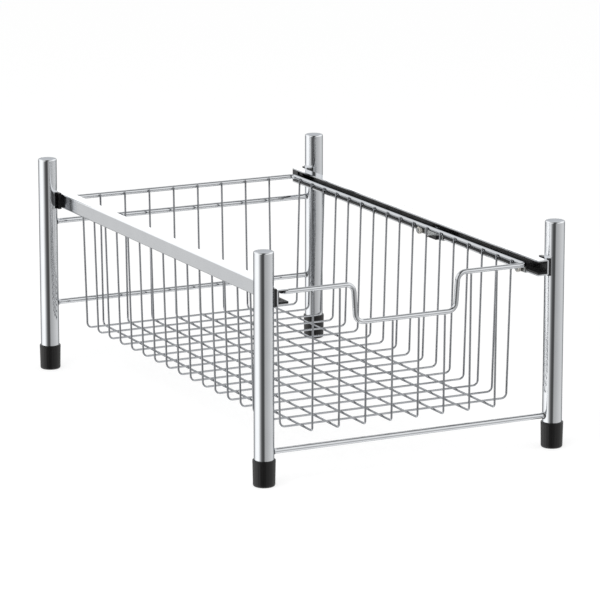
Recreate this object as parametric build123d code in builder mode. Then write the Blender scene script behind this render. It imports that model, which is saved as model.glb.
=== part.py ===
"""Pull out cabinet basket: a chromed tube frame with two channel rails, and a wire basket on rollers.

Millimetres, +Z up. X runs across the cabinet, +Y runs to its back, and the basket pulls out towards -Y.
The origin is on the cabinet floor, in the middle of the four feet.
"""
import os
from math import cos, radians, sin

from build123d import *

os.makedirs("parts", exist_ok=True)

# ---------------------------------------------------------------- sizes
# Frame
frame_height = 210.0        # floor to the top of the posts
post_span_x = 291.0         # between post centres, across
post_span_y = 477.0         # between post centres, front to back
post_r = 9.0                # 18 mm tube
post_wall = 1.2
seat_gap = 0.05             # fitting gap of pieces that sit on or in each other

# Closed tops and rubber feet
cap_plate = 2.6
cap_plug = 9.0
cap_round = 1.3
foot_height = 24.0
foot_wall = 1.3
foot_floor = 3.0
foot_taper = 0.4
foot_round = 2.0

# Cross bars
bar_r = 2.5
bar_weld_r = 3.6            # weld collar at each end
bar_weld_len = 3.0
rear_upper_bar_drop = 21.9  # below the middle of the rails
rear_lower_bar_z = 66.0
front_bar_z = 30.3

# Rails: chromed steel channel, lined inside by plastic strips
rail_drop = 41.1            # from the top of the posts to the middle of the channel
rail_height = 14.2
rail_width = 11.0
rail_wall = 1.2
rail_bend = 1.5             # outer bend of the channel
rail_end_inset = 2.5        # from the front of the post to the end of the rail
web_strip_wall = 0.8
upper_runner_wall = 0.6
lower_runner_wall = 1.8

# Saddles and spacers between the posts and the rails
saddle_wall = 0.6
saddle_rise = 2.6           # saddle stands above the rail
saddle_drop = 0.8           # and below it
saddle_long_angle = 80.0    # wrap towards the middle of the rail
saddle_short_angle = 45.0   # wrap towards the end of the rail
spacer_depth = 3.1
spacer_start = 3.0          # blocks start this far from the middle of the post
spacer_reach = 11.0         # from the middle of the post towards the middle of the rail
spacer_over = 0.8           # spacer is taller than the rail, above and below

# Basket wires
rim_r = 2.25
rim_gap = 1.1               # between the rim and the channel's edges
rim_front_inset = 10.5      # in from the middle of the front posts
rim_rear_inset = 2.5        # in from the middle of the rear posts
rim_front_bend = 3.2
rim_rear_bend = 6.0
wire_r = 1.15
weld_gap = 0.02             # welded wires touch at a point
wire_over_rim = 1.6         # wire ends stand above the rim's middle
cross_wires = 17
cross_inset = 20.0          # first and last cross wire, in from the rim
long_wires = 8
long_inset = 22.6           # outermost wire, in from the side wall's foot
side_lean = 3.4             # walls draw in towards the floor
rear_lean = 4.0
front_lean = 1.5
floor_z = 42.5              # middle of the cross wires on the floor
wire_bend = 8.0

# Lowered front
notch_top_half = 52.5
notch_foot_half = 50.0
notch_drop = 34.8           # below the rim
notch_bend = 8.0

# Rollers that run in the channels
rear_roller_r = 4.5
rear_roller_width = 6.2
rear_axle_r = 1.5
rear_axle_inset = 7.0       # in from the rear of the rim
rear_collar_r = 2.1
rear_collar = 2.1           # collar between the rim and the roller
rear_head_r = 2.6
rear_head = 0.8
running_gap = 0.05          # bore to pin
side_play = 0.2             # along a pin
rolling_gap = 0.05          # roller to the surface it rolls on
end_stop_gap = 0.3

# Support rollers under the rim
support_r = 3.5
support_width = 3.2
support_pin_r = 1.25
support_collar_r = 1.9
support_collar = 0.4        # collar between the roller and the ear
support_head_r = 2.2
support_head = 0.6
mid_roller_y = -28.0
front_roller_inset = 24.5   # in from the middle of the front posts
roller_round = 0.5

# Brackets of the support rollers, and the stop
bracket_wall = 1.0
bracket_stand = 0.5         # ear stands in from the channel's edge
bracket_rise = 4.8          # ear reaches above the rail's bottom
bracket_leg = 8.0
mid_bracket_rear = 8.0      # behind its roller
mid_bracket_front = 42.0    # in front of its roller
front_bracket_half = 9.0
window_gap = 0.3            # around the ear, in the channel's lower flange
window_depth = 1.8
stop_finger_place = 27.0    # rear face, in front of the roller
stop_finger_width = 5.0
stop_finger_top = 2.2       # above the rim's middle
pad_rear = 18.0             # in front of the roller
pad_front = 35.0
pad_thin = 1.0
pad_thick = 3.8
pad_width = 3.8

# ---------------------------------------------------------------- places that follow from the sizes
post_x = post_span_x / 2
post_y = post_span_y / 2
rail_z = frame_height - rail_drop
rear_upper_bar_z = rail_z - rear_upper_bar_drop
saddle_r = post_r + seat_gap + saddle_wall
spacer_cut_r = saddle_r + seat_gap
rail_out_x = post_x - spacer_cut_r
rail_in_x = rail_out_x - rail_width
rail_end_y = post_y + post_r - rail_end_inset
rail_bottom_z = rail_z - rail_height / 2
rail_top_z = rail_z + rail_height / 2
strip_seat = rail_wall + seat_gap
ear_x = rail_in_x - bracket_stand
track_z = rail_bottom_z + strip_seat + lower_runner_wall
track_top_z = rail_top_z - strip_seat - upper_runner_wall
track_x = rail_out_x - strip_seat - web_strip_wall

rear_roller_z = track_z + rolling_gap + rear_roller_r
rim_z = rear_roller_z
notch_z = rim_z - notch_drop
rim_front_y = rim_front_inset - post_y
rim_rear_y = post_y - rim_rear_inset
rim_x = rail_in_x - rim_gap - rim_r
wire_seat = rim_r + wire_r + weld_gap
side_top_x = rim_x - wire_seat
side_foot_x = side_top_x - side_lean
rear_top_y = rim_rear_y - wire_seat
rear_foot_y = rear_top_y - rear_lean
front_top_y = rim_front_y + wire_seat
front_foot_y = front_top_y + front_lean
wire_top_z = rim_z + wire_over_rim
cross_first_y = rim_front_y + cross_inset
cross_last_y = rim_rear_y - cross_inset
cross_pitch = (cross_last_y - cross_first_y) / (cross_wires - 1)
long_half = side_foot_x - long_inset
long_pitch = 2 * long_half / (long_wires - 1)
long_floor_z = floor_z - 2 * wire_r - weld_gap
notch_wire_top_z = notch_z + wire_over_rim

rear_axle_y = rim_rear_y - rear_axle_inset
rear_collar_x = rim_x + rim_r + rear_collar
rear_roller_x = rear_collar_x + side_play
rear_head_x = rear_roller_x + rear_roller_width + side_play

support_z = rim_z - rim_r - rolling_gap - support_r
support_out_x = ear_x - support_collar - side_play
support_head_x = support_out_x - support_width - side_play
ear_out_x = ear_x + bracket_wall
ear_low_z = rail_bottom_z - bracket_wall
front_roller_y = front_roller_inset - post_y
mid_bracket_rear_y = mid_roller_y + mid_bracket_rear
mid_bracket_front_y = mid_roller_y - mid_bracket_front
stop_finger_rear_y = mid_roller_y - stop_finger_place
pad_rear_y = mid_roller_y - pad_rear
pad_front_y = mid_roller_y - pad_front
plug_face_y = rear_axle_y + rear_roller_r + end_stop_gap

corners = {
    "front_left": (-1, -1),
    "front_right": (1, -1),
    "rear_left": (-1, 1),
    "rear_right": (1, 1),
}
sides = {"left": -1, "right": 1}


def keep(piece, name):
    """Label a finished piece and write it to its own file."""
    piece.part.label = name
    export_step(piece.part, f"parts/{name}.step")


def facing_front(x, y, z):
    """A sketch plane that faces -Y, its own x along +X and its own y along +Z."""
    return Plane(origin=(x, y, z), x_dir=(1, 0, 0), z_dir=(0, -1, 0))


def facing_right(x, y, z):
    """A sketch plane that faces +X, its own x along +Y and its own y along +Z."""
    return Plane(origin=(x, y, z), x_dir=(0, 1, 0), z_dir=(1, 0, 0))


def turned(side, y, z, outline):
    """Turn an outline of (distance from the middle, radius) points about the line X at y and z."""
    with BuildPart() as piece:
        with BuildSketch(facing_front(0, y, z)):
            with BuildLine():
                Polyline(*[(side * x, r) for x, r in outline], close=True)
            make_face()
        revolve(axis=Axis((0, y, z), (1, 0, 0)))
    return piece


def wire(points, bends, radius):
    """A round wire along straight runs joined by bends."""
    with BuildPart() as piece:
        with BuildLine() as path:
            FilletPolyline(*points, radius=bends)
        with BuildSketch(Plane(origin=path.line @ 0, z_dir=path.line % 0)):
            Circle(radius)
        sweep()
    return piece


# ---------------------------------------------------------------- posts, caps and feet
for corner, (sx, sy) in corners.items():
    px, py = sx * post_x, sy * post_y

    with BuildPart() as post:
        with BuildSketch(Plane.XY.offset(foot_floor)):
            with Locations((px, py)):
                Circle(post_r)
                Circle(post_r - post_wall, mode=Mode.SUBTRACT)
        extrude(amount=frame_height - cap_plate - foot_floor)
    keep(post, f"{corner}_post")

    with BuildPart() as cap:
        with BuildSketch(Plane.XY.offset(frame_height - cap_plate)):
            with Locations((px, py)):
                Circle(post_r)
        extrude(amount=cap_plate)
        fillet(cap.edges().group_by(Axis.Z)[-1], cap_round)
        with BuildSketch(Plane.XY.offset(frame_height - cap_plate)):
            with Locations((px, py)):
                Circle(post_r - post_wall - seat_gap)
        extrude(amount=-cap_plug)
    keep(cap, f"{corner}_post_cap")

    with BuildPart() as foot:
        with BuildSketch(facing_front(px, py, 0)):
            with BuildLine():
                foot_r = post_r + foot_wall
                bore_r = post_r + seat_gap
                Polyline(
                    (0, 0), (foot_r - foot_taper, 0), (foot_r, foot_height), (bore_r, foot_height),
                    (bore_r, foot_floor), (0, foot_floor), close=True,
                )
            make_face()
        revolve(axis=Axis((px, py, 0), (0, 0, 1)))
        fillet(foot.edges().group_by(Axis.Z)[0], foot_round)
        top_edges = foot.edges().filter_by(GeomType.CIRCLE).group_by(Axis.Z)[-1]
        fillet(top_edges.sort_by(SortBy.RADIUS)[-1], foot_wall / 3)
    keep(foot, f"{corner}_foot")

# ---------------------------------------------------------------- cross bars
bars = {
    "rear_upper_bar": (post_y, rear_upper_bar_z),
    "rear_lower_bar": (post_y, rear_lower_bar_z),
    "front_bottom_bar": (-post_y, front_bar_z),
}
for name, (bar_y, bar_z) in bars.items():
    weld_x = post_x - post_r - bar_weld_len
    with BuildPart() as bar:
        with BuildSketch(facing_front(0, bar_y, bar_z)):
            with BuildLine():
                Polyline(
                    (-post_x, 0), (-post_x, bar_weld_r), (-post_x + post_r, bar_weld_r),
                    (-weld_x, bar_r), (weld_x, bar_r), (post_x - post_r, bar_weld_r),
                    (post_x, bar_weld_r), (post_x, 0), close=True,
                )
            make_face()
        revolve(axis=Axis((0, bar_y, bar_z), (1, 0, 0)))
        with BuildSketch(Plane.XY.offset(bar_z - 2 * bar_weld_r)):
            with Locations((-post_x, bar_y), (post_x, bar_y)):
                Circle(post_r + seat_gap)
        extrude(amount=4 * bar_weld_r, mode=Mode.SUBTRACT)
    keep(bar, name)

# ---------------------------------------------------------------- saddles and spacers
for corner, (sx, sy) in corners.items():
    px, py = sx * post_x, sy * post_y

    with BuildPart() as saddle:
        with BuildSketch(Plane.XY.offset(rail_bottom_z - saddle_drop)):
            with Locations((px, py)):
                Circle(saddle_r)
                Circle(post_r + seat_gap, mode=Mode.SUBTRACT)
            turns = (-saddle_short_angle, 0, saddle_long_angle / 2, saddle_long_angle)
            rays = [
                (px - sx * 2 * saddle_r * cos(radians(a)), py - sy * 2 * saddle_r * sin(radians(a)))
                for a in turns
            ]
            Polygon((px, py), *rays, align=None, mode=Mode.INTERSECT)
        extrude(amount=rail_height + saddle_drop + saddle_rise)
    keep(saddle, f"{corner}_saddle")

    blocks = {
        "spacer": (post_y - spacer_reach, post_y - spacer_start),
        "end_spacer": (post_y + spacer_start, rail_end_y),
    }
    for name, (near_y, far_y) in blocks.items():
        with BuildPart() as spacer:
            with BuildSketch(Plane.XY.offset(rail_bottom_z - spacer_over)):
                with BuildLine():
                    near_x, far_x = sx * rail_out_x, sx * (rail_out_x + spacer_depth)
                    low_y, high_y = sy * near_y, sy * far_y
                    Polyline((near_x, low_y), (far_x, low_y), (far_x, high_y), (near_x, high_y), close=True)
                make_face()
                with Locations((px, py)):
                    Circle(spacer_cut_r, mode=Mode.SUBTRACT)
            extrude(amount=rail_height + 2 * spacer_over)
        keep(spacer, f"{corner}_{name}")

# ---------------------------------------------------------------- rails, lining strips and rear plugs
windows = (
    (mid_bracket_front_y - window_gap, mid_bracket_rear_y + window_gap),
    (
        front_roller_y - front_bracket_half - window_gap,
        front_roller_y + front_bracket_half + window_gap,
    ),
)


def strip(side, outline, bend=0.0, windowed=False):
    """A rail-long strip of one section, with the bracket windows cut into its lower edge if asked."""
    with BuildPart() as piece:
        with BuildSketch(facing_front(0, rail_end_y, 0)) as section:
            with BuildLine():
                Polyline(*[(side * x, z) for x, z in outline], close=True)
            make_face()
            if bend:
                fillet(section.vertices().group_by(Axis.X)[-1 if side > 0 else 0], bend)
        extrude(amount=2 * rail_end_y)
        for front_y, rear_y in windows if windowed else ():
            with BuildSketch(Plane.XY.offset(ear_low_z)):
                with BuildLine():
                    x_in, x_out = side * (ear_x - window_depth), side * (ear_x + window_depth)
                    Polyline(
                        (x_in, front_y), (x_out, front_y), (x_out, rear_y), (x_in, rear_y), close=True
                    )
                make_face()
            extrude(amount=rail_z - ear_low_z, mode=Mode.SUBTRACT)
    return piece


shell_outline = (
    (rail_in_x, rail_bottom_z), (rail_out_x, rail_bottom_z), (rail_out_x, rail_top_z),
    (rail_in_x, rail_top_z), (rail_in_x, rail_top_z - rail_wall),
    (rail_out_x - rail_wall, rail_top_z - rail_wall), (rail_out_x - rail_wall, rail_bottom_z + rail_wall),
    (rail_in_x, rail_bottom_z + rail_wall),
)


def strip_outline(in_x, low_z, high_z):
    """Section of a strip that lies against the channel's web."""
    back_x = rail_out_x - strip_seat
    return ((in_x, low_z), (back_x, low_z), (back_x, high_z), (in_x, high_z))


web_outline = strip_outline(track_x, track_z, track_top_z)
lower_outline = strip_outline(rail_in_x, rail_bottom_z + strip_seat, track_z)
upper_outline = strip_outline(rail_in_x, track_top_z, rail_top_z - strip_seat)
for side_name, side in sides.items():
    keep(strip(side, shell_outline, bend=rail_bend, windowed=True), f"{side_name}_rail")
    keep(strip(side, web_outline), f"{side_name}_web_strip")
    keep(strip(side, lower_outline, windowed=True), f"{side_name}_lower_runner")
    keep(strip(side, upper_outline), f"{side_name}_upper_runner")

    with BuildPart() as plug:
        with BuildSketch(facing_front(0, rail_end_y, 0)):
            with BuildLine():
                x_in, x_out = side * rail_in_x, side * (track_x - seat_gap)
                z_low, z_high = track_z + seat_gap, track_top_z - seat_gap
                Polyline((x_in, z_low), (x_out, z_low), (x_out, z_high), (x_in, z_high), close=True)
            make_face()
        extrude(amount=rail_end_y - plug_face_y)
    keep(plug, f"{side_name}_rail_end_plug")

# ---------------------------------------------------------------- roller brackets
brackets = {
    "middle": (mid_bracket_front_y, mid_bracket_rear_y, mid_roller_y),
    "front": (front_roller_y - front_bracket_half, front_roller_y + front_bracket_half, front_roller_y),
}
for side_name, side in sides.items():
    for place, (front_y, rear_y, roller_y) in brackets.items():
        with BuildPart() as bracket:
            with BuildSketch(facing_right(side * ear_x, 0, 0)):
                with BuildLine():
                    ear_top_z = rail_bottom_z + bracket_rise
                    finger_front_y = stop_finger_rear_y - stop_finger_width
                    finger = [
                        (stop_finger_rear_y, ear_top_z), (stop_finger_rear_y, rim_z + stop_finger_top),
                        (finger_front_y, rim_z + stop_finger_top), (finger_front_y, ear_top_z),
                    ]
                    Polyline(
                        (front_y, ear_low_z), (rear_y, ear_low_z), (rear_y, ear_top_z),
                        *(finger if place == "middle" else []), (front_y, ear_top_z), close=True,
                    )
                make_face()
                with Locations((roller_y, support_z)):
                    Circle(support_pin_r + seat_gap, mode=Mode.SUBTRACT)
            extrude(amount=side * bracket_wall)
            with BuildSketch(Plane.XY.offset(rail_bottom_z - bracket_wall)):
                with BuildLine():
                    x_in, x_out = side * ear_x, side * (ear_x + bracket_leg)
                    leg_in = side * ear_out_x
                    Polyline(
                        (leg_in, front_y), (x_out, front_y), (x_out, rear_y), (leg_in, rear_y), close=True
                    )
                make_face()
            extrude(amount=bracket_wall)
        keep(bracket, f"{side_name}_{place}_bracket")

        roller = turned(side, roller_y, support_z, (
            (support_out_x - support_width, support_pin_r + running_gap),
            (support_out_x - support_width, support_r - roller_round),
            (support_out_x - support_width + roller_round, support_r),
            (support_out_x - roller_round, support_r),
            (support_out_x, support_r - roller_round),
            (support_out_x, support_pin_r + running_gap),
        ))
        keep(roller, f"{side_name}_{place}_support_roller")

    with BuildPart() as pad:
        with BuildSketch(facing_right(side * (ear_x - pad_width), 0, 0)):
            with BuildLine():
                Polyline(
                    (pad_front_y, ear_low_z), (pad_rear_y, ear_low_z), (pad_rear_y, ear_low_z + pad_thin),
                    (pad_front_y, ear_low_z + pad_thick), close=True,
                )
            make_face()
        extrude(amount=side * pad_width)
    keep(pad, f"{side_name}_stop_pad")

pin_outline = (
    (support_head_x - support_head, 0), (support_head_x - support_head, support_head_r),
    (support_head_x, support_head_r), (support_head_x, support_pin_r),
    (ear_x - support_collar, support_pin_r), (ear_x - support_collar, support_collar_r),
    (ear_x, support_collar_r), (ear_x, support_pin_r), (ear_out_x, support_pin_r), (ear_out_x, 0),
)
with BuildPart() as pins:
    for side in sides.values():
        for roller_y in (mid_roller_y, front_roller_y):
            add(turned(side, roller_y, support_z, pin_outline).part)
keep(pins, "support_roller_pins")

# ---------------------------------------------------------------- basket wires
rim_half = wire(
    [
        (0, rim_rear_y, rim_z), (rim_x, rim_rear_y, rim_z), (rim_x, rim_front_y, rim_z),
        (notch_top_half, rim_front_y, rim_z), (notch_foot_half, rim_front_y, notch_z),
        (0, rim_front_y, notch_z),
    ],
    [rim_rear_bend, rim_front_bend, notch_bend, notch_bend],
    rim_r,
)
with BuildPart() as rim:
    add(rim_half.part)
    mirror(about=Plane.YZ)
keep(rim, "basket_rim")

hoop = wire(
    [
        (-side_top_x, 0, wire_top_z), (-side_foot_x, 0, floor_z),
        (side_foot_x, 0, floor_z), (side_top_x, 0, wire_top_z),
    ],
    wire_bend,
    wire_r,
)
with BuildPart() as cross:
    with Locations(*[(0, cross_first_y + i * cross_pitch, 0) for i in range(cross_wires)]):
        add(hoop.part)
keep(cross, "basket_cross_wires")


def lengthwise_wire(front_z):
    """A wire down the back, along the floor and up the front to the given height."""
    return wire(
        [
            (0, rear_top_y, wire_top_z), (0, rear_foot_y, long_floor_z),
            (0, front_foot_y, long_floor_z), (0, front_top_y, front_z),
        ],
        wire_bend,
        wire_r,
    )


with BuildPart() as lengthwise:
    for i in range(long_wires):
        wire_x = i * long_pitch - long_half
        with Locations((wire_x, 0, 0)):
            add(lengthwise_wire(notch_wire_top_z if abs(wire_x) < notch_foot_half else wire_top_z).part)
keep(lengthwise, "basket_lengthwise_wires")

# ---------------------------------------------------------------- rear axles and rollers
for side_name, side in sides.items():
    axle = turned(side, rear_axle_y, rim_z, (
        (rim_x, 0), (rim_x, rear_collar_r), (rear_collar_x, rear_collar_r), (rear_collar_x, rear_axle_r),
        (rear_head_x, rear_axle_r), (rear_head_x, rear_head_r), (rear_head_x + rear_head, rear_head_r),
        (rear_head_x + rear_head, 0),
    ))
    with BuildPart() as stub:
        add(axle.part)
        with BuildSketch(facing_front(side * rim_x, rear_axle_y + 2 * rear_collar_r, rim_z)):
            Circle(rim_r + seat_gap)
        extrude(amount=4 * rear_collar_r, mode=Mode.SUBTRACT)
    keep(stub, f"{side_name}_rear_axle")

    roller = turned(side, rear_axle_y, rear_roller_z, (
        (rear_roller_x, rear_axle_r + running_gap),
        (rear_roller_x, rear_roller_r - roller_round),
        (rear_roller_x + roller_round, rear_roller_r),
        (rear_roller_x + rear_roller_width - roller_round, rear_roller_r),
        (rear_roller_x + rear_roller_width, rear_roller_r - roller_round),
        (rear_roller_x + rear_roller_width, rear_axle_r + running_gap),
    ))
    keep(roller, f"{side_name}_rear_roller")
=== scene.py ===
"""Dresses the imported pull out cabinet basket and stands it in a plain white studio.

Every length is in metres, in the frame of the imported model: +Z up, +Y to the back of the cabinet.
"""

from math import cos, pi, radians, sin, tau

import bmesh
import bpy
import numpy as np
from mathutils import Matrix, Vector


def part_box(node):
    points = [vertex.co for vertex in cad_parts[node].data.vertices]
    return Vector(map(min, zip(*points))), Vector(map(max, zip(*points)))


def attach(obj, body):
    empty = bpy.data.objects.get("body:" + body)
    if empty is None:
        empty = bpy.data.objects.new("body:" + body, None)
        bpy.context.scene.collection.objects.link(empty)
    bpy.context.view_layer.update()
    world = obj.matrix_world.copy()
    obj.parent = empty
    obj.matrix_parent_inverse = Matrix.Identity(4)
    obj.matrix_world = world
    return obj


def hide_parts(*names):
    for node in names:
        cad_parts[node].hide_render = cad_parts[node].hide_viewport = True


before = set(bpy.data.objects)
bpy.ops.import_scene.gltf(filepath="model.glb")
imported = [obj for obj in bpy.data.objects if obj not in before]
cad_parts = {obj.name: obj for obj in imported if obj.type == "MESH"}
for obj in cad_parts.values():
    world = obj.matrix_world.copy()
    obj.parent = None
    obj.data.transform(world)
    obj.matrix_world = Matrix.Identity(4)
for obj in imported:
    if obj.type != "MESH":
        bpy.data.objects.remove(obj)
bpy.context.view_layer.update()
MM = 0.001

bl_info = {
    "name": "Pull Out Cabinet Basket",
    "version": (1, 0, 0),
    "blender": (4, 5, 0),
    "location": "View3D > Sidebar > Basket",
    "description": "Builds the chromed tube frame, the wire basket, its rollers and a white studio",
    "category": "Object",
}

CORNERS = ("front_left", "front_right", "rear_left", "rear_right")
SIDES = ("left", "right")


# ---------------------------------------------------------------- sizes and colours a user would change
def length(name, words, millimetres):
    """A length property, given in millimetres."""
    return bpy.props.FloatProperty(name=name, description=words, default=millimetres * MM, unit="LENGTH")


class FrameSizes(bpy.types.PropertyGroup):
    """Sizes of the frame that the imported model's boxes don't give"""

    bar_radius: length("Bar radius", "Radius of the cross bars", 2.5)
    weld_radius: length("Bar weld radius", "Radius of the weld where a bar meets a post", 3.55)
    weld_length: length("Bar weld length", "How far the weld runs along the bar", 3.0)
    cap_round: length("Cap rounding", "Rounding of the closed top of a post", 1.3)
    foot_round: length("Foot rounding", "Rounding of a foot where it meets the floor", 2.0)
    foot_taper: length("Foot taper", "How much narrower a foot is at the floor", 0.4)
    foot_lip: length("Foot lip", "Thickness of the rubber at the top of a foot", 1.1)
    foot_flute: length("Foot flute", "Depth of the moulded flutes round a foot", 0.1)


class BasketSizes(bpy.types.PropertyGroup):
    """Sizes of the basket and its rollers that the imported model's boxes don't give"""

    rim_radius: length("Rim radius", "Radius of the rim wire", 2.25)
    wire_radius: length("Wire radius", "Radius of the thin wires", 0.95)
    front_bend: length("Front bend", "Bend of the rim at the front corners", 3.2)
    notch_bend: length("Lowered front bend", "Bends of the rim round the lowered front", 8.0)
    rear_bend: length("Rear bend", "Bend of the rim at the rear corners", 6.0)
    wire_bend: length("Wire bend", "Bend of the thin wires at the foot of a wall", 5.0)
    front_wire_bend: length("Front wire bend", "Bend of the thin wires at the foot of the front", 3.0)
    side_lean: length("Side lean", "How far a side wall draws in at the floor", 3.4)
    rear_lean: length("Rear lean", "How far the rear wall draws in at the floor", 4.0)
    front_lean: length("Front lean", "How far the front wall draws in at the floor", 1.5)
    notch_top: length("Lowered front, top", "Half width of the lowered front at the rim", 52.5)
    notch_foot: length("Lowered front, foot", "Half width of the lowered front at its foot", 50.0)
    cross_count: bpy.props.IntProperty(
        name="Cross wires", description="Wires across the basket", default=17, min=2
    )
    long_count: bpy.props.IntProperty(
        name="Lengthwise wires", description="Wires along the basket", default=8, min=2
    )
    roller_bore: length("Rear roller bore", "Bore radius of the rear rollers", 1.55)
    support_bore: length("Support roller bore", "Bore radius of the support rollers", 1.3)


def colour(name, words, default):
    """A colour property written as the sRGB hex value of the finish."""
    return bpy.props.StringProperty(name=name, description=words, default=default)


class FinishColours(bpy.types.PropertyGroup):
    """Colours of the finishes"""

    chrome: colour("Chrome", "Bright chrome plate on the tubes and wires", "C9CBCD")
    chrome_deep: colour("Chrome, deep", "Chrome plate where the film is thinner", "BFC1C4")
    chrome_edge: colour("Chrome, edge", "Tint of the chrome where it turns away from the eye", "A9ABAE")
    sheet_edge: colour("Sheet, edge", "Tint of the channel's chrome where it turns away", "FFFFFF")
    # Painted shade: the thin wires' chrome is the tube chrome made darker, for the shade and dark reflections
    # on thin wires.
    wire: colour("Wire", "Chrome on the thin wires, thinner in the barrel", "9EA0A3")
    wire_deep: colour("Wire, deep", "Chrome on the thin wires at its thinnest", "929497")
    # Painted shade: the rim's chrome, used on the cross bars too, is the tube chrome made darker, less so
    # than the thin wires'.
    rim: colour("Rim", "Chrome on the rim wire", "B6B8BA")
    rim_deep: colour("Rim, deep", "Chrome on the rim wire where it is thinner", "A9ABAE")
    zinc: colour("Zinc", "Zinc plate on the brackets, pins and axles", "ABADAC")
    zinc_deep: colour("Zinc, deep", "Darker spangle in the zinc plate", "8E9192")
    plastic: colour("Plastic", "Black plastic of the strips, spacers and rear rollers", "0A0A0B")
    plastic_worn: colour("Plastic, worn", "Plastic polished grey by the rollers", "131314")
    nylon: colour("Nylon", "Undyed nylon of the support rollers", "F1EFEA")
    nylon_rubbed: colour("Nylon, rubbed", "Nylon where the rim rubs it", "DEDAD0")
    rubber: colour("Rubber", "Black moulded rubber of the feet", "070606")
    rubber_dust: colour("Rubber, dusty", "Rubber greyed by dust near the floor", "141313")
    floor: colour("Floor", "White studio floor", "F4F4F4")


class StudioSettings(bpy.types.PropertyGroup):
    """Camera and light"""

    lens: bpy.props.FloatProperty(
        name="Focal length", description="Lens of the product camera on a 36 mm sensor",
        default=223.9, subtype="DISTANCE_CAMERA", unit="CAMERA",
    )
    yaw: bpy.props.FloatProperty(
        name="Camera turn", description="How far the camera looks to the right of straight in",
        default=radians(26.725), subtype="ANGLE",
    )
    pitch: bpy.props.FloatProperty(
        name="Camera tilt", description="How far the camera looks down",
        default=radians(12.97), subtype="ANGLE",
    )
    camera_x: bpy.props.FloatProperty(
        name="Camera X", description="Place of the camera across the cabinet",
        default=-1.5312, unit="LENGTH",
    )
    camera_y: bpy.props.FloatProperty(
        name="Camera Y", description="Place of the camera in front of the cabinet",
        default=-3.0605, unit="LENGTH",
    )
    camera_z: bpy.props.FloatProperty(
        name="Camera height", description="Height of the camera above the floor",
        default=0.8908, unit="LENGTH",
    )
    key_power: bpy.props.FloatProperty(
        name="Softbox power", description="Power of the softbox over the front left",
        default=16.0, subtype="POWER", unit="POWER",
    )
    room_light: bpy.props.FloatProperty(
        name="Room light", description="Even light of the white room", default=0.72, min=0.0
    )


# ---------------------------------------------------------------- colours and nodes
def linear(hex_value, alpha=1.0):
    """An sRGB hex value turned into the linear colour that a socket takes."""
    srgb = np.array([int(hex_value[i:i + 2], 16) for i in (0, 2, 4)]) / 255
    rgb = np.where(srgb <= 0.04045, srgb / 12.92, ((srgb + 0.055) / 1.055) ** 2.4)
    return (*rgb.tolist(), alpha)


def add_node(tree, kind, sockets=None, **settings):
    """Add a node, set its properties, and fill or link its sockets.

    A socket's value is a plain value, or a (node, output) pair that is linked to it.
    """
    node = tree.nodes.new(kind)
    for key, value in settings.items():
        setattr(node, key, value)
    for socket, value in (sockets or {}).items():
        if isinstance(value, tuple) and isinstance(value[0], bpy.types.Node):
            tree.links.new(value[0].outputs[value[1]], node.inputs[socket])
        else:
            node.inputs[socket].default_value = value
    return node


def new_material(name):
    """An empty node material with its output node."""
    material = bpy.data.materials.new(name)
    material.use_nodes = True
    material.node_tree.nodes.clear()
    return material, material.node_tree


def speckle(tree, spacing, detail=2.0, softness=0.55):
    """Noise whose grains are `spacing` (x, y, z) metres apart, on the piece's own coordinates."""
    place = add_node(tree, "ShaderNodeTexCoord")
    scaled = add_node(
        tree, "ShaderNodeMapping", {"Vector": (place, "Object"), "Scale": [1 / s for s in spacing]}
    )
    return add_node(
        tree, "ShaderNodeTexNoise",
        {"Vector": (scaled, "Vector"), "Scale": 1.0, "Detail": detail, "Roughness": softness},
    )


def even(millimetres):
    """A grain with the same spacing in all directions."""
    return (millimetres * MM,) * 3


def between(tree, source, low, high, new_low, new_high):
    """Carry a grey value from one range to another, held at the ends."""
    return add_node(
        tree, "ShaderNodeMapRange",
        {"Value": source, "From Min": low, "From Max": high, "To Min": new_low, "To Max": new_high},
    )


def maths(tree, operation, *values):
    """A math node over the values, in the order of its inputs."""
    return add_node(tree, "ShaderNodeMath", dict(enumerate(values)), operation=operation)


def mix_shaders(tree, amount, first, second):
    """The first shader where the amount is 0, the second where it is 1."""
    return add_node(tree, "ShaderNodeMixShader", {0: amount, 1: first, 2: second})


def blend_colours(tree, amount, first, second):
    """Two colours mixed by a grey value."""
    ramp = add_node(tree, "ShaderNodeValToRGB", {"Fac": amount})
    ramp.color_ramp.elements[0].color = linear(first)
    ramp.color_ramp.elements[1].color = linear(second)
    return ramp


def close_material(tree, tint, roughness, marks, bump, depth, sockets):
    """Principled shader with a fine relief from the marks, linked to the material's output."""
    relief = add_node(tree, "ShaderNodeBump", {"Strength": bump, "Distance": depth, "Height": (marks, "Fac")})
    shader = add_node(
        tree, "ShaderNodeBsdfPrincipled",
        {
            "Base Color": (tint, "Color"), "Roughness": (roughness, "Result"),
            "Normal": (relief, "Normal"), **sockets,
        },
    )
    add_node(tree, "ShaderNodeOutputMaterial", {"Surface": (shader, "BSDF")})


# ---------------------------------------------------------------- materials
# Strength of the sheen on plastic and rubber, lower than the usual half: their skin is a little matt.
SHEEN = 0.3

# Spacing of the patches where handling has dulled the chrome.
HANDLED = (22 * MM, 22 * MM, 30 * MM)

# Where most values of a noise lie, and most products of two noises.
NOISE_SPAN = (0.3, 0.7)
PRODUCT_SPAN = (0.12, 0.42)


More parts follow.
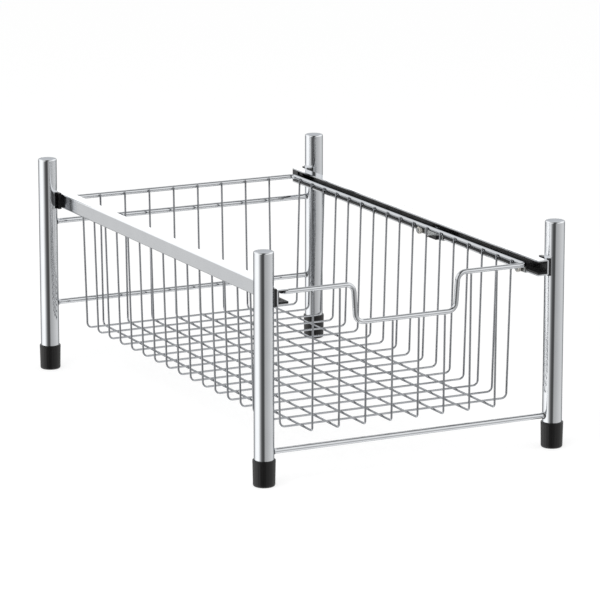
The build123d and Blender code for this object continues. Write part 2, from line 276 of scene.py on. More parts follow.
def chrome_plate(name, grain, smooth, rough, bump, shades=None, edge=None):
    """Bright chrome plate over drawn or rolled steel.

    A mirror with a cool tint; the draw marks of the steel show through as a faint grain, so the
    reflections are a little streaked, and handling leaves patches that are slightly duller.
    """
    finish = bpy.context.scene.basket_colours
    material, tree = new_material(name)
    marks = speckle(tree, grain, detail=3.0)
    patches = speckle(tree, HANDLED, detail=1.0)
    both = maths(tree, "MULTIPLY", (marks, "Fac"), (patches, "Fac"))
    roughness = between(tree, (both, "Value"), *PRODUCT_SPAN, smooth, rough)
    tint = blend_colours(tree, (patches, "Fac"), *(shades or (finish.chrome, finish.chrome_deep)))
    mirror = {"Metallic": 1.0, "Specular Tint": linear(edge or finish.chrome_edge)}
    close_material(tree, tint, roughness, marks, bump, depth=0.02 * MM, sockets=mirror)
    return material


def chromed_tube():
    """Chrome on drawn tube: draw marks along Z, 1.2 mm apart, coarser than real ones so they show."""
    grain = (1.2 * MM, 1.2 * MM, 70 * MM)
    return chrome_plate("chromed_drawn_tube", grain, smooth=0.045, rough=0.095, bump=0.12)


def rim_chrome_with_painted_shade():
    """The chrome of the rim and the cross bars: painted shade, the tube chrome made darker, though brighter
    than that of the thin wires.
    """
    finish = bpy.context.scene.basket_colours
    return finish.rim, finish.rim_deep


def chromed_bar():
    """Chrome on drawn bar that runs across: the marks lie along X."""
    grain = (50 * MM, 1.0 * MM, 1.0 * MM)
    return chrome_plate(
        "chromed_drawn_bar", grain, smooth=0.07, rough=0.13, bump=0.12, shades=rim_chrome_with_painted_shade()
    )


def chromed_wire():
    """Chrome on drawn wire: plated in a barrel, so its fine marks have no direction. Its colours are painted
    shade: the tube chrome made darker, for the shade and dark reflections on the thin wires.
    """
    finish = bpy.context.scene.basket_colours
    # Painted shade: these wire colours are darker than the tube chrome.
    shades = (finish.wire, finish.wire_deep)
    return chrome_plate("chromed_wire", even(1.6), smooth=0.10, rough=0.19, bump=0.16, shades=shades)


def chromed_rim():
    """Chrome on the thicker wire of the rim, with the same marks as the thin wires."""
    return chrome_plate(
        "chromed_rim_wire", even(1.6), smooth=0.08, rough=0.15, bump=0.12, shades=rim_chrome_with_painted_shade()
    )


def chromed_sheet():
    """Chrome on roll formed channel: rolling marks along Y, drawn 1.5 mm apart so they show."""
    grain = (1.5 * MM, 80 * MM, 1.5 * MM)
    edge = bpy.context.scene.basket_colours.sheet_edge
    return chrome_plate("chromed_formed_sheet", grain, smooth=0.08, rough=0.15, bump=0.10, edge=edge)


def weld_bead():
    """Resistance weld under chrome: the plate covers a slightly lumpy, duller spot."""
    return chrome_plate("chromed_weld", even(0.8), smooth=0.16, rough=0.32, bump=0.5)


def zinc_plate():
    """Bright zinc plate on pressed steel: grey with a fine spangle, duller than the chrome."""
    finish = bpy.context.scene.basket_colours
    material, tree = new_material("zinc_plated_steel")
    place = add_node(tree, "ShaderNodeTexCoord")
    spangle = add_node(
        tree, "ShaderNodeTexVoronoi", {"Vector": (place, "Object"), "Scale": 1 / (1.1 * MM)}
    )
    grain = speckle(tree, even(0.5))
    tint = blend_colours(tree, (spangle, "Distance"), finish.zinc, finish.zinc_deep)
    roughness = between(tree, (grain, "Fac"), *NOISE_SPAN, 0.26, 0.42)
    close_material(
        tree, tint, roughness, grain, bump=0.3, depth=0.03 * MM, sockets={"Metallic": 1.0}
    )
    return material


def satin_plastic(name, grain, smooth, rough, shades):
    """Nylon or acetal: one deep colour with a satin sheen and a fine moulded or extruded grain."""
    material, tree = new_material(name)
    marks = speckle(tree, grain, detail=3.0)
    rubbed = speckle(tree, (9 * MM, 30 * MM, 9 * MM), detail=2.0)
    tint = blend_colours(tree, (rubbed, "Fac"), *shades)
    roughness = between(tree, (marks, "Fac"), *NOISE_SPAN, smooth, rough)
    close_material(
        tree, tint, roughness, marks, bump=0.25, depth=0.04 * MM,
        sockets={"IOR": 1.5, "Specular IOR Level": SHEEN},
    )
    return material


def black_shades():
    """The black of the plastic pieces, and the shade that rubbing gives it."""
    finish = bpy.context.scene.basket_colours
    return finish.plastic, finish.plastic_worn


def extruded_strip():
    """Extruded plastic: die lines along Y, drawn 0.7 mm apart so they show."""
    grain = (0.7 * MM, 60 * MM, 0.7 * MM)
    return satin_plastic("black_extruded_plastic", grain, smooth=0.22, rough=0.38, shades=black_shades())


def moulded_nylon():
    """Injection moulded plastic: a fine even grain."""
    return satin_plastic("black_moulded_nylon", even(0.6), smooth=0.30, rough=0.46, shades=black_shades())


def natural_nylon():
    """Undyed nylon of the support rollers: milky white, a little yellower where it is rubbed."""
    finish = bpy.context.scene.basket_colours
    shades = (finish.nylon, finish.nylon_rubbed)
    return satin_plastic("natural_white_nylon", even(0.6), smooth=0.28, rough=0.42, shades=shades)


def moulded_rubber():
    """Black moulded rubber: soft broad highlights, a fine grain, and grey dust near the floor."""
    finish = bpy.context.scene.basket_colours
    material, tree = new_material("black_moulded_rubber")
    grain = speckle(tree, even(0.7), detail=3.0)
    blotch = speckle(tree, even(6))
    place = add_node(tree, "ShaderNodeTexCoord")
    height = add_node(tree, "ShaderNodeSeparateXYZ", {"Vector": (place, "Object")})
    low = between(tree, (height, "Z"), 0.0, 5 * MM, 1.0, 0.0)
    dust = maths(tree, "MULTIPLY", (low, "Result"), (blotch, "Fac"))
    tint = blend_colours(tree, (dust, "Value"), finish.rubber, finish.rubber_dust)
    roughness = between(tree, (grain, "Fac"), *NOISE_SPAN, 0.36, 0.52)
    close_material(
        tree, tint, roughness, grain, bump=0.35, depth=0.06 * MM,
        sockets={"IOR": 1.52, "Specular IOR Level": SHEEN},
    )
    return material


MAKERS = {
    "tube": chromed_tube, "bar": chromed_bar, "wire": chromed_wire, "rim": chromed_rim,
    "sheet": chromed_sheet, "weld": weld_bead, "zinc": zinc_plate, "strip": extruded_strip,
    "nylon": moulded_nylon, "natural": natural_nylon, "rubber": moulded_rubber,
}
made_materials = {}


def material_of(kind):
    """The material of a finish, made the first time that it is asked for."""
    if kind not in made_materials:
        made_materials[kind] = MAKERS[kind]()
    return made_materials[kind]


def finish_nodes(places, names, kind):
    """Give a finish to the CAD nodes that carry each of the names at each of the places."""
    for place in places:
        for name in names:
            for material_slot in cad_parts[f"{place}_{name}"].material_slots:
                material_slot.material = material_of(kind)


# ---------------------------------------------------------------- surfaces
def grid_faces(rows, cols):
    """Quads between neighbouring points of a grid, numbered row by row.

    Quad (i, j) joins points (i, j), (i, j + 1), (i + 1, j + 1) and (i + 1, j), and the last column
    joins the first.
    """
    i, j = np.meshgrid(np.arange(rows - 1), np.arange(cols), indexing="ij")
    k = (j + 1) % cols
    below, above = i * cols, (i + 1) * cols
    return np.stack([below + j, below + k, above + k, above + j], -1).reshape(-1, 4)


def mesh_of(name, patches, sharp=40.0):
    """One mesh object from grids of points, each (count, rows, cols, 3), closed round their columns.

    Points that coincide, as at a pole, are merged, and edges sharper than `sharp` degrees stay crisp.
    """
    points, faces, start = [], [], 0
    for patch in patches:
        count, rows, cols, _ = patch.shape
        quads = grid_faces(rows, cols)
        offsets = start + np.arange(count)[:, None, None] * rows * cols
        faces.append((quads[None] + offsets).reshape(-1, 4))
        points.append(patch.reshape(-1, 3))
        start += count * rows * cols
    mesh = bpy.data.meshes.new(name)
    mesh.from_pydata(np.concatenate(points), [], np.concatenate(faces))
    merge_points(mesh)
    mesh.polygons.foreach_set("use_smooth", np.ones(len(mesh.polygons), bool))
    mesh.set_sharp_from_angle(angle=radians(sharp))
    piece = bpy.data.objects.new(name, mesh)
    bpy.context.scene.collection.objects.link(piece)
    return piece


def merge_points(mesh):
    """Merge points closer than a micron, drop faces that this flattens, and turn faces outwards."""
    work = bmesh.new()
    work.from_mesh(mesh)
    bmesh.ops.remove_doubles(work, verts=work.verts, dist=0.001 * MM)
    bmesh.ops.dissolve_degenerate(work, edges=work.edges, dist=0.0005 * MM)
    bmesh.ops.recalc_face_normals(work, faces=work.faces)
    work.to_mesh(mesh)
    work.free()


def arc(centre, radius, start, end, steps):
    """Points (a, b) of an arc: centre plus radius times the cosine and sine of an even run of angles."""
    angle = np.linspace(radians(start), radians(end), steps)
    return np.stack([centre[0] + radius * np.cos(angle), centre[1] + radius * np.sin(angle)], -1)


def lathe(profile, origin, along, sides=72, flutes=0, flute_depth=0.0):
    """A surface of revolution: each profile point (radius, height) turned about the axis.

    Point (i, j) is origin + height_i * axis + radius_i * (cos t_j, sin t_j) on the two directions
    square to the axis. Flutes take a cosine of t off the radius wherever the profile says so.
    """
    profile = np.asarray(profile, float)
    axis = np.eye(3)["XYZ".index(along)]
    side_a = np.eye(3)[("XYZ".index(along) + 1) % 3]
    side_b = np.eye(3)[("XYZ".index(along) + 2) % 3]
    turn = np.linspace(0, tau, sides, endpoint=False)
    radius = np.repeat(profile[:, :1], sides, 1)
    if flutes:
        depth = flute_depth * (1 - np.cos(turn * flutes)) / 2
        radius = radius - depth[None, :] * profile[:, 2:3]
    around = np.cos(turn)[:, None] * side_a + np.sin(turn)[:, None] * side_b
    points = np.asarray(origin) + profile[:, 1, None, None] * axis + radius[..., None] * around[None]
    return points[None]


def bent_path(corners, bends, arc_steps=9):
    """Points along straight runs joined by tangent arcs.

    A bend of radius r between unit runs a and b starts r * tan(half the turn) before the corner;
    its points are c + r * (n * cos t + a * sin t), with n from the arc's centre to its start.
    """
    corners = np.asarray(corners, float)
    path = [corners[:1]]
    for corner, before, after, bend in zip(corners[1:-1], corners[:-2], corners[2:], bends):
        a = (corner - before) / np.linalg.norm(corner - before)
        b = (after - corner) / np.linalg.norm(after - corner)
        turn = np.arccos(np.clip(a @ b, -1, 1))
        start = corner - a * bend * np.tan(turn / 2)
        inward = b - a * (a @ b)
        inward /= np.linalg.norm(inward)
        t = np.linspace(0, turn, arc_steps)[:, None]
        path.append(start + bend * inward * (1 - np.cos(t)) + bend * a * np.sin(t))
    path.append(corners[-1:])
    return np.concatenate(path)


# A direction that no run or bend of the basket's wires lies along, so it never fails as a guide.
GUIDE = np.array([0.47, 0.72, 0.51])


def tube(path, radius, sides=16, closed=False, end_rings=6):
    """A round profile carried along a path.

    Point (i, j) is path_i + radius_i * (n_i * cos t_j + b_i * sin t_j), with b_i square to the path
    and the guide, and n_i square to both. The ends of an open path get rings on a half sphere, set
    back so that the tube keeps its length.
    """
    path = np.asarray(path, float)
    if closed:
        directions = np.roll(path, -1, 0) - np.roll(path, 1, 0)
        directions = np.concatenate([directions, directions[:1]])
        path = np.concatenate([path, path[:1]])
        widths = np.full(len(path), radius)
    else:
        lift = np.sin(np.linspace(0, pi / 2, end_rings))
        first = (path[1] - path[0]) / np.linalg.norm(path[1] - path[0])
        last = (path[-1] - path[-2]) / np.linalg.norm(path[-1] - path[-2])
        start = path[0] + radius * (1 - lift[::-1, None]) * first
        end = path[-1] - radius * (1 - lift[:, None]) * last
        widths = np.concatenate([
            radius * np.sqrt(1 - lift[::-1] ** 2), np.full(len(path) - 2, radius),
            radius * np.sqrt(1 - lift ** 2),
        ])
        directions = np.concatenate([
            np.repeat(first[None], end_rings, 0), np.gradient(path, axis=0)[1:-1],
            np.repeat(last[None], end_rings, 0),
        ])
        path = np.concatenate([start, path[1:-1], end])
    directions /= np.linalg.norm(directions, axis=1)[:, None]
    across = np.cross(directions, GUIDE)
    across /= np.linalg.norm(across, axis=1)[:, None]
    upright = np.cross(across, directions)
    turn = np.linspace(0, tau, sides, endpoint=False)
    ring = upright[:, None] * np.cos(turn)[None, :, None] + across[:, None] * np.sin(turn)[None, :, None]
    return (path[:, None] + widths[:, None, None] * ring)[None]


def beads(centres, half_sizes, sides=8, rings=6):
    """Small ellipsoids: the unit sphere (sin u cos v, sin u sin v, cos u) scaled and set at each centre."""
    u = np.linspace(0, pi, rings)
    v = np.linspace(0, tau, sides, endpoint=False)
    sphere = np.stack([
        np.outer(np.sin(u), np.cos(v)), np.outer(np.sin(u), np.sin(v)), np.outer(np.cos(u), np.ones(sides)),
    ], -1)
    return np.asarray(centres)[:, None, None] + sphere[None] * np.asarray(half_sizes)


def dress(piece, body, kind, replaced=()):
    """Give a piece its finish and its body, and hide the nodes that it stands for."""
    piece.data.materials.append(material_of(kind))
    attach(piece, body)
    if replaced:
        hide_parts(*replaced)


def centre_of(node):
    """The middle of a node's box."""
    low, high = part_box(node)
    return (low + high) / 2


# ---------------------------------------------------------------- small forms that stay as they are
CAP_SKIRT = 2.0 * MM            # a closed top reaches this far down into its tube
CAP_SKIRT_PLAY = 0.6 * MM       # and is this much narrower there
FOOT_EDGE = 0.5 * MM            # rounding of the foot's upper edge
FOOT_FLOOR = 4.0 * MM           # from the floor to the bottom of the foot's bore
FOOT_COLLAR = 2.4 * MM          # plain ring at the foot's top
FLUTES = 24
FLUTE_STOP = 3.5 * MM           # the flutes end this far below the foot's top
FLUTE_LOW = 0.03 * MM           # the fluted wall starts this much outside the sole
FLUTE_HIGH = 0.05 * MM          # and ends this much inside the collar
BAR_END = 0.4 * MM              # a bar's end stands this far inside its CAD end
WELD_END = 0.2 * MM             # a weld's hollow flare stops this far before the bar's end
TREAD_EDGE = 0.5 * MM           # rounding of a roller's tread
DISH = 0.25 * MM                # depth of the ring pressed into a roller's face
DISH_OUT = (1.1 * MM, 1.3 * MM)     # top and foot of its outer slope, in from the tread
DISH_IN = (0.6 * MM, 0.7 * MM)      # top and foot of its inner slope, out from the bore

# Half sizes of the resistance welds.
FLOOR_WELD = (1.0 * MM, 1.0 * MM, 0.5 * MM)
SIDE_WELD = (0.55 * MM, 1.0 * MM, 1.5 * MM)
REAR_WELD = (1.0 * MM, 0.55 * MM, 1.5 * MM)
FRONT_WELD = (1.2 * MM, 1.2 * MM, 0.6 * MM)


def rim_centres():
    """The middle of the rim wire: its height, its height in the lowered front, and its Y at the front."""
    low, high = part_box("basket_rim")
    r = bpy.context.scene.basket_wires.rim_radius
    return high.z - r, low.z + r, low.y + r


# ---------------------------------------------------------------- operators, one for each group of pieces
class BASKET_OT_posts(bpy.types.Operator):
    """Build the four tube posts and their closed tops"""

    bl_idname = "basket.posts"
    bl_label = "Posts"

    def execute(self, context):
        sizes = context.scene.basket_frame
        for corner in CORNERS:
            low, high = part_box(f"{corner}_post")
            place = (*centre_of(f"{corner}_post").xy, 0)
            radius = (high.x - low.x) / 2
            wall = [(0, low.z), (radius, low.z), (radius, high.z), (0, high.z)]
            piece = mesh_of(f"{corner}_tube", [lathe(wall, place, "Z", sides=96)])
            dress(piece, "frame", "tube", [f"{corner}_post"])
            top, r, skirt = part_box(f"{corner}_post_cap")[1].z, sizes.cap_round, high.z - CAP_SKIRT
            crown = [
                (0, skirt), (radius - CAP_SKIRT_PLAY, skirt), (radius, high.z),
                *arc((radius - r, top - r), r, 0, 90, 9), (0, top),
            ]
            piece = mesh_of(f"{corner}_closed_top", [lathe(crown, place, "Z", sides=96)])
            dress(piece, "frame", "tube", [f"{corner}_post_cap"])
        return {"FINISHED"}


class BASKET_OT_feet(bpy.types.Operator):
    """Build the four fluted rubber feet"""

    bl_idname = "basket.feet"
    bl_label = "Rubber feet"

    def execute(self, context):
        sizes = context.scene.basket_frame
        for corner in CORNERS:
            low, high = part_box(f"{corner}_foot")
            place = (*centre_of(f"{corner}_foot").xy, 0)
            top_r, r = (high.x - low.x) / 2, sizes.foot_round
            foot_r, bore_r = top_r - sizes.foot_taper, top_r - sizes.foot_lip
            sole = [(0, low.z), *arc((foot_r - r, low.z + r), r, -90, 0, 7)]
            fluted = [(foot_r + FLUTE_LOW, low.z + 2 * r), (top_r - FLUTE_HIGH, high.z - FLUTE_STOP)]
            collar = [
                (top_r, high.z - FOOT_COLLAR),
                *arc((top_r - FOOT_EDGE, high.z - FOOT_EDGE), FOOT_EDGE, 0, 90, 5),
                (bore_r, high.z), (bore_r, low.z + FOOT_FLOOR), (0, low.z + FOOT_FLOOR),
            ]
            profile = [(a, b, 0) for a, b in sole] + [(a, b, 1) for a, b in fluted]
            profile += [(a, b, 0) for a, b in collar]
            surface = lathe(profile, place, "Z", sides=144, flutes=FLUTES, flute_depth=sizes.foot_flute)
            piece = mesh_of(f"{corner}_rubber_foot", [surface], sharp=50)
            dress(piece, "frame", "rubber", [f"{corner}_foot"])
        return {"FINISHED"}


class BASKET_OT_bars(bpy.types.Operator):
    """Build the cross bars with the welds that join them to the posts"""

    bl_idname = "basket.bars"
    bl_label = "Cross bars"

    def execute(self, context):
        sizes = context.scene.basket_frame
        for name in ("rear_upper_bar", "rear_lower_bar", "front_bottom_bar"):
            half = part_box(name)[1].x - BAR_END
            hollow = sizes.weld_radius - sizes.bar_radius
            radii = arc((0, sizes.weld_radius), hollow, -90, -10, 6)[:, 1]
            places = np.linspace(half - sizes.weld_length, half - WELD_END, len(radii))
            right = [*zip(radii, places), (sizes.weld_radius, half), (0, half)]
            left = [(r, -x) for r, x in reversed(right)]
            surface = lathe(left + right, (0, *centre_of(name).yz), "X", sides=40)
            piece = mesh_of(name.replace("_bar", "_rod"), [surface])
            dress(piece, "frame", "bar", [name])
        return {"FINISHED"}


class BASKET_OT_rim(bpy.types.Operator):
    """Build the basket's rim wire with its lowered front"""

    bl_idname = "basket.rim"
    bl_label = "Rim wire"

    def execute(self, context):
        sizes = context.scene.basket_wires
        r = sizes.rim_radius
        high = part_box("basket_rim")[1]
        x, rear = high.x - r, high.y - r
        top, notch, front = rim_centres()
        right = [
            (0, rear, top), (x, rear, top), (x, front, top), (sizes.notch_top, front, top),
            (sizes.notch_foot, front, notch), (0, front, notch),
        ]
        bends = [sizes.rear_bend, sizes.front_bend, sizes.notch_bend, sizes.notch_bend]
        half = bent_path(right, bends, arc_steps=13)
        other = half[-2:0:-1] * (-1, 1, 1)
        piece = mesh_of("rim_wire", [tube(np.concatenate([half, other]), r, sides=28, closed=True)])
        dress(piece, "basket", "rim", ["basket_rim"])
        return {"FINISHED"}


class BASKET_OT_wires(bpy.types.Operator):
    """Build the thin wires across and along the basket"""

    bl_idname = "basket.wires"
    bl_label = "Thin wires"

    def execute(self, context):
        sizes = context.scene.basket_wires
        r = sizes.wire_radius
        low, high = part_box("basket_cross_wires")
        side, floor = high.x - r, low.z + r
        foot = side - sizes.side_lean
        for i, y in enumerate(np.linspace(low.y + r, high.y - r, sizes.cross_count)):
            corners = [(-side, y, high.z), (-foot, y, floor), (foot, y, floor), (side, y, high.z)]
            path = bent_path(corners, [sizes.wire_bend] * 2)
            piece = mesh_of(f"cross_wire_{i + 1:02d}", [tube(path, r)])
            dress(piece, "basket", "wire", ["basket_cross_wires"])
        floor = low.z - r
        low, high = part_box("basket_lengthwise_wires")
        rear = high.y - r
        top, notch, front = rim_centres()
        for i, x in enumerate(np.linspace(low.x + r, high.x - r, sizes.long_count)):
            bar = notch if abs(x) < sizes.notch_foot else top
            corners = [
                (x, rear, high.z), (x, rear - sizes.rear_lean, floor),
                (x, front + sizes.front_lean, floor), (x, front, bar - sizes.rim_radius),
            ]
            path = bent_path(corners, [sizes.wire_bend, sizes.front_wire_bend])
            piece = mesh_of(f"lengthwise_wire_{i + 1}", [tube(path, r)])
            dress(piece, "basket", "wire", ["basket_lengthwise_wires"])
        return {"FINISHED"}


class BASKET_OT_welds(bpy.types.Operator):
    """Build the small resistance welds where the basket's wires cross and meet the rim"""

    bl_idname = "basket.welds"
    bl_label = "Wire welds"

    def execute(self, context):
        sizes = context.scene.basket_wires
        r = sizes.wire_radius
        cross_low, cross_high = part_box("basket_cross_wires")
        long_low, long_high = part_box("basket_lengthwise_wires")
        across_y = np.linspace(cross_low.y + r, cross_high.y - r, sizes.cross_count)
        along_x = np.linspace(long_low.x + r, long_high.x - r, sizes.long_count)
        grid_x, grid_y = np.meshgrid(along_x, across_y)
        floor = np.stack([grid_x, grid_y, np.full_like(grid_x, cross_low.z)], -1).reshape(-1, 3)
        piece = mesh_of("floor_welds", [beads(floor, FLOOR_WELD)], sharp=180)
        dress(piece, "basket", "weld")
        top, notch, front_y = rim_centres()
        sides = [(s * cross_high.x, y, top) for s in (-1, 1) for y in across_y]
        rear = [(x, long_high.y, top) for x in along_x]
        bars = [notch if abs(x) < sizes.notch_foot else top for x in along_x]
        front = [(x, front_y, bar - sizes.rim_radius) for x, bar in zip(along_x, bars)]
        patches = [beads(sides, SIDE_WELD), beads(rear, REAR_WELD), beads(front, FRONT_WELD)]
        piece = mesh_of("rim_welds", patches, sharp=180)
        dress(piece, "basket", "weld")
        return {"FINISHED"}


class BASKET_OT_rollers(bpy.types.Operator):
    """Build the rollers with their rounded treads, hub rings and bores"""

    bl_idname = "basket.rollers"
    bl_label = "Rollers"

    def execute(self, context):
        sizes = context.scene.basket_wires
        for side in SIDES:
            support = (sizes.support_bore, "natural", "natural_nylon")
            rollers = {
                f"{side}_rear_roller": (sizes.roller_bore, "nylon", "roller_plastic"),
                f"{side}_middle_support_roller": support, f"{side}_front_support_roller": support,
            }
            for name, (bore, kind, slot_name) in rollers.items():
                low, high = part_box(name)
                half, radius = (high.x - low.x) / 2, (high.z - low.z) / 2
                right = [
                    *arc((radius - TREAD_EDGE, half - TREAD_EDGE), TREAD_EDGE, 0, 90, 5),
                    (radius - DISH_OUT[0], half), (radius - DISH_OUT[1], half - DISH),
                    (bore + DISH_IN[1], half - DISH), (bore + DISH_IN[0], half), (bore, half),
                ]
                left = [(a, -b) for a, b in reversed(right)]
                surface = lathe(left + right + [left[0]], tuple(centre_of(name)), "X", sides=56)
                piece = mesh_of(name.replace("roller", "wheel"), [surface], sharp=35)
                dress(piece, name, kind, [name])
        return {"FINISHED"}


class BASKET_OT_rails(bpy.types.Operator):
    """Give the rails, strips, saddles, spacers, brackets and axles their finishes"""

    bl_idname = "basket.rails"
    bl_label = "Rails and fittings"

    def execute(self, context):
        finish_nodes(SIDES, ("rail",), "sheet")
        finish_nodes(CORNERS, ("saddle",), "sheet")
        finish_nodes(SIDES, ("web_strip", "lower_runner", "upper_runner"), "strip")
        finish_nodes(CORNERS, ("spacer", "end_spacer"), "nylon")
        finish_nodes(SIDES, ("rail_end_plug", "stop_pad"), "nylon")
        finish_nodes(SIDES, ("middle_bracket", "front_bracket", "rear_axle"), "zinc")
        finish_nodes(("support_roller",), ("pins",), "zinc")
        return {"FINISHED"}


# Light that polished metal sees low over the floor, by angle in degrees to the right of the camera:
# a bright wall on the left, a dark gap round the camera, a dimmer wall on the right.
LOW_LIGHT = (
    (-180, 0.08), (-160, 0.3), (-145, 0.8), (-126, 0.95), (-115, 1.5), (-100, 1.75), (-64, 1.75), (-50, 1.2),
    (-38, 0.55), (-26, 0.2), (-12, 0.1), (3, 0.12), (14, 0.62), (40, 0.74), (70, 0.9), (100, 1.05),
    (122, 1.1), (145, 0.6), (165, 0.2), (180, 0.08),
)
# Light that it sees higher up. Each row runs from one place to another, with its level at the two.
BESIDE_CAMERA = (radians(14), radians(34), 0.12, 1.7)   # by angle to either side of the camera
CEILING = (0.72, 0.86, 1.0, 0.22)                       # by sine of the height, times the row above
# Share of the high light in place of the low one, in rows of the same kind, by sine of the height.
SHARE_UP = (-0.02, 0.12, 0.0, 1.0)
SHARE_STEEP = (0.5, 0.75, 0.0, 1.0)                     # also counts steeply down

FLOOR_REACH = 12.0
FLOOR_GLOW = 1.2            # glow that only the camera sees, for pure white round the object
FLOOR_GLOW_SHARE = 0.6      # the rest of the floor is plain diffuse white

SOFTBOX_SIZE = (1.6, 1.2)
SOFTBOX_PLACE = (-1.1, -0.9, 1.7)
SOFTBOX_AIM = (0, 0, 0.1)

SENSOR_WIDTH = 36.0         # millimetres, as Blender takes it
WHITE = (1, 1, 1, 1)


class BASKET_OT_studio(bpy.types.Operator):
    """Build the white floor, the soft light, the room and the camera"""

    bl_idname = "basket.studio"
    bl_label = "Studio"

    def execute(self, context):
        studio = context.scene.basket_studio
        build_floor(context.scene.basket_colours.floor)
        build_room(context.scene, studio)
        build_softbox(studio)
        build_camera(context.scene, studio)
        context.scene.view_settings.view_transform = "Standard"
        return {"FINISHED"}


def build_floor(shade):
    """A wide white floor; the camera sees a little glow so that it meets the white room unseen."""
    mesh = bpy.data.meshes.new("studio_floor")
    corners = [(x * FLOOR_REACH, y * FLOOR_REACH, 0) for x, y in ((-1, -1), (1, -1), (1, 1), (-1, 1))]
    mesh.from_pydata(corners, [], [(0, 1, 2, 3)])
    floor = bpy.data.objects.new("studio_floor", mesh)
    bpy.context.scene.collection.objects.link(floor)
    material, tree = new_material("white_studio_floor")
    seen = add_node(tree, "ShaderNodeLightPath")
    white = add_node(tree, "ShaderNodeBsdfDiffuse", {"Color": linear(shade)})
    bright = maths(tree, "MULTIPLY", (seen, "Is Camera Ray"), FLOOR_GLOW)
    glow = add_node(tree, "ShaderNodeEmission", {"Color": WHITE, "Strength": (bright, "Value")})
    lit = mix_shaders(tree, FLOOR_GLOW_SHARE, (white, "BSDF"), (glow, "Emission"))
    clear = add_node(tree, "ShaderNodeBsdfTransparent")
    both = mix_shaders(tree, (seen, "Is Glossy Ray"), (lit, "Shader"), (clear, "BSDF"))
    add_node(tree, "ShaderNodeOutputMaterial", {"Surface": (both, "Shader")})
    mesh.materials.append(material)


def backdrop(tree, strength, shade=WHITE):
    """Light of the room, as strong as a value or a node's output says."""
    return add_node(tree, "ShaderNodeBackground", {"Color": shade, "Strength": strength})


def build_room(scene, studio):
    """White to the camera, even light on the object, and bright and dark walls in its reflections."""
    world = bpy.data.worlds.new("studio_room")
    world.use_nodes = True
    tree = world.node_tree
    tree.nodes.clear()
    seen = add_node(tree, "ShaderNodeLightPath")
    direction = add_node(tree, "ShaderNodeTexCoord")
    turned = add_node(
        tree, "ShaderNodeMapping", {"Vector": (direction, "Generated"), "Rotation": (0, 0, studio.yaw)},
        vector_type="POINT",
    )
    axes = add_node(tree, "ShaderNodeSeparateXYZ", {"Vector": (turned, "Vector")})
    back = maths(tree, "MULTIPLY", (axes, "Y"), -1.0)
    angle = maths(tree, "ARCTAN2", (axes, "X"), (back, "Value"))
    share = between(tree, (angle, "Value"), -pi, pi, 0.0, 1.0)
    low = add_node(tree, "ShaderNodeValToRGB", {"Fac": (share, "Result")})
    strongest = max(level for _, level in LOW_LIGHT)
    ramp = low.color_ramp.elements
    while len(ramp) < len(LOW_LIGHT):
        ramp.new(0.5)
    for stop, (degrees_right, level) in zip(ramp, LOW_LIGHT):
        stop.position = degrees_right / 360 + 0.5
        stop.color = (level / strongest,) * 3 + (1,)
    low_light = backdrop(tree, strongest, (low, "Color"))
    ceiling = between(tree, (axes, "Z"), *CEILING)
    turn = maths(tree, "ABSOLUTE", (angle, "Value"))
    beside = between(tree, (turn, "Value"), *BESIDE_CAMERA)
    shaded = maths(tree, "MULTIPLY", (beside, "Result"), (ceiling, "Result"))
    high_light = backdrop(tree, (shaded, "Value"))
    height = maths(tree, "ABSOLUTE", (axes, "Z"))
    rise = between(tree, (axes, "Z"), *SHARE_UP)
    dip = between(tree, (height, "Value"), *SHARE_STEEP)
    outside = maths(tree, "MAXIMUM", (rise, "Result"), (dip, "Result"))
    mirror = mix_shaders(
        tree, (outside, "Value"), (low_light, "Background"), (high_light, "Background")
    )
    room, white = backdrop(tree, studio.room_light), backdrop(tree, 1.0)
    inner = mix_shaders(tree, (seen, "Is Glossy Ray"), (room, "Background"), (mirror, "Shader"))
    whole = mix_shaders(tree, (seen, "Is Camera Ray"), (inner, "Shader"), (white, "Background"))
    add_node(tree, "ShaderNodeOutputWorld", {"Surface": (whole, "Shader")})
    scene.world = world


def build_softbox(studio):
    """A large soft lamp over the front left of the object."""
    lamp = bpy.data.lights.new("softbox", "AREA")
    lamp.shape = "RECTANGLE"
    lamp.size, lamp.size_y = SOFTBOX_SIZE
    lamp.energy = studio.key_power
    softbox = bpy.data.objects.new("softbox", lamp)
    bpy.context.scene.collection.objects.link(softbox)
    softbox.location = SOFTBOX_PLACE
    softbox.rotation_mode = "QUATERNION"
    aim = Vector(SOFTBOX_AIM) - softbox.location
    softbox.rotation_quaternion = aim.to_track_quat("-Z", "Y")
    softbox.visible_glossy = False


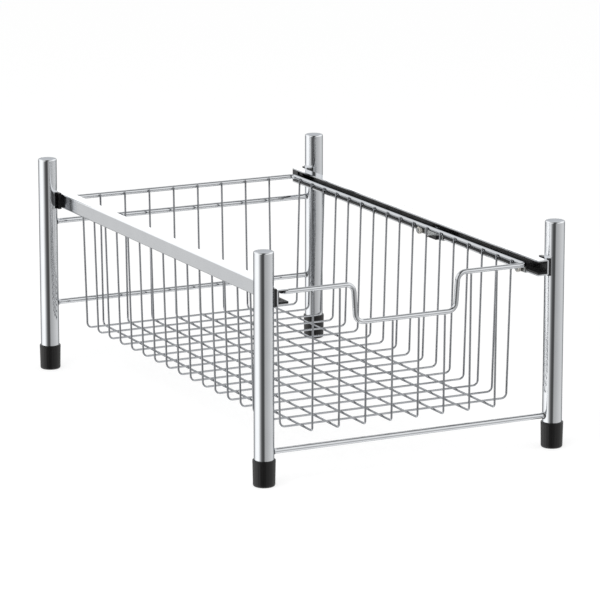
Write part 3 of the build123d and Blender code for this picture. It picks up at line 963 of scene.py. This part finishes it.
def build_camera(scene, studio):
    """The product camera, aimed by its turn and tilt."""
    data = bpy.data.cameras.new("product_camera")
    data.sensor_width, data.lens = SENSOR_WIDTH, studio.lens
    camera = bpy.data.objects.new("product_camera", data)
    scene.collection.objects.link(camera)
    camera.location = (studio.camera_x, studio.camera_y, studio.camera_z)
    level = cos(studio.pitch)
    ahead = Vector((sin(studio.yaw) * level, cos(studio.yaw) * level, -sin(studio.pitch)))
    camera.rotation_mode = "QUATERNION"
    camera.rotation_quaternion = ahead.to_track_quat("-Z", "Y")
    scene.camera = camera


class BASKET_PT_build(bpy.types.Panel):
    """Buttons that build the basket and its studio"""

    bl_idname = "BASKET_PT_build"
    bl_label = "Pull Out Basket"
    bl_space_type = "VIEW_3D"
    bl_region_type = "UI"
    bl_category = "Basket"

    def draw(self, context):
        for operator in OPERATORS:
            self.layout.operator(operator.bl_idname)
        for group in (context.scene.basket_frame, context.scene.basket_wires, context.scene.basket_studio):
            box = self.layout.box()
            for key in group.__annotations__:
                box.prop(group, key)


GROUPS = {
    "basket_frame": FrameSizes, "basket_wires": BasketSizes, "basket_colours": FinishColours,
    "basket_studio": StudioSettings,
}
OPERATORS = (
    BASKET_OT_posts, BASKET_OT_feet, BASKET_OT_bars, BASKET_OT_rails, BASKET_OT_rim, BASKET_OT_wires,
    BASKET_OT_welds, BASKET_OT_rollers, BASKET_OT_studio,
)


def register():
    """Add the property groups, the operators and the panel to Blender."""
    for item in (*GROUPS.values(), *OPERATORS, BASKET_PT_build):
        bpy.utils.register_class(item)
    for name, group in GROUPS.items():
        setattr(bpy.types.Scene, name, bpy.props.PointerProperty(type=group))


def unregister():
    """Take them out again."""
    for name in GROUPS:
        delattr(bpy.types.Scene, name)
    for item in (BASKET_PT_build, *reversed(OPERATORS), *reversed(tuple(GROUPS.values()))):
        bpy.utils.unregister_class(item)


def main():
    """Build everything."""
    register()
    for operator in OPERATORS:
        category, name = operator.bl_idname.split(".")
        getattr(getattr(bpy.ops, category), name)()


if __name__ == "__main__":
    main()
